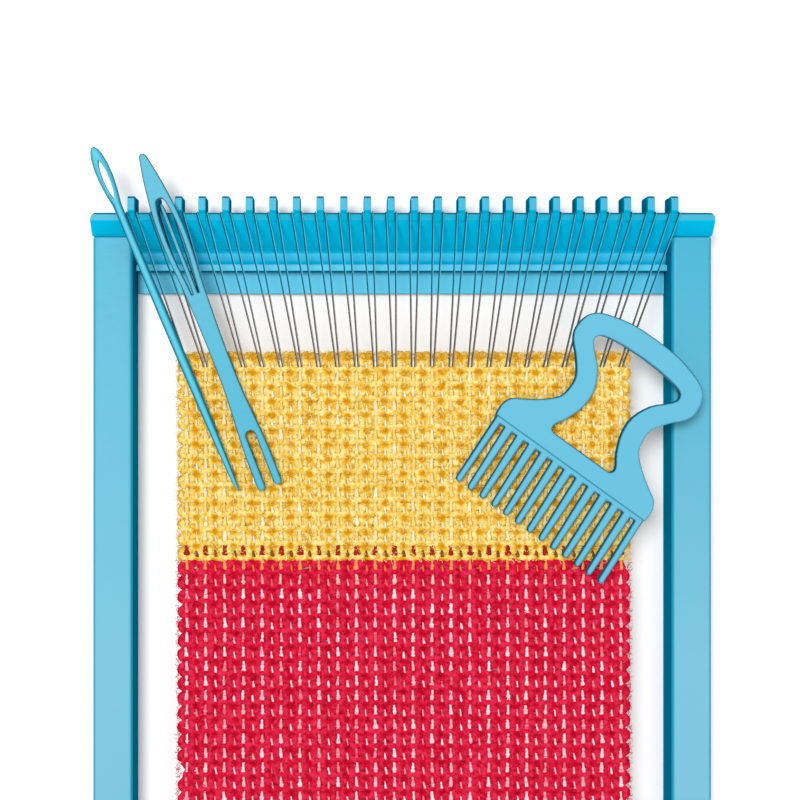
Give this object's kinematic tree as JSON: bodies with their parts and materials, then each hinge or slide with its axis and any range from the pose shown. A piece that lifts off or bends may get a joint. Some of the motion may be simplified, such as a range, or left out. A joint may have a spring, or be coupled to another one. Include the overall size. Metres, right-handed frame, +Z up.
{
  "type": "peg weaving loom",
  "caption": "Rectangular moulded frame with a row of pegs at each end, laced with a warp and part-woven cloth, with a weaving needle, netting shuttle and hand comb lying on it.",
  "frame": {"origin": "centre of the whole set's footprint, on the surface that the frame lies on", "axes": "+Z up from the surface, +Y along the rails towards the head beam, +X along the beams to the right"},
  "size_m": [0.2658, 0.4035, 0.0237],
  "materials": {
    "frame_plastic": "satin moulded plastic",
    "tool_plastic": "satin moulded plastic",
    "warp_cotton": "twisted cotton thread",
    "yellow_yarn": "fluffy plied yarn",
    "red_yarn": "fluffy plied yarn"
  },
  "bodies": {
    "frame": {"head_beam": "frame_plastic", "foot_beam": "frame_plastic", "left_rail": "frame_plastic", "right_rail": "frame_plastic", "warp_thread": "warp_cotton", "yellow_weft": "yellow_yarn", "red_weft": "red_yarn"},
    "needle": {"yarn_needle": "tool_plastic"},
    "shuttle": {"netting_shuttle": "tool_plastic"},
    "comb": {"hand_comb": "tool_plastic"}
  },
  "joints": [
    {"name": "needle_lift", "type": "slide", "parent": "frame", "child": "needle", "axis": [0, 0, 1], "range_m": [0, 0.12]},
    {"name": "shuttle_lift", "type": "slide", "parent": "frame", "child": "shuttle", "axis": [0, 0, 1], "range_m": [0, 0.12]},
    {"name": "comb_lift", "type": "slide", "parent": "frame", "child": "comb", "axis": [0, 0, 1], "range_m": [0, 0.12]}
  ]
}
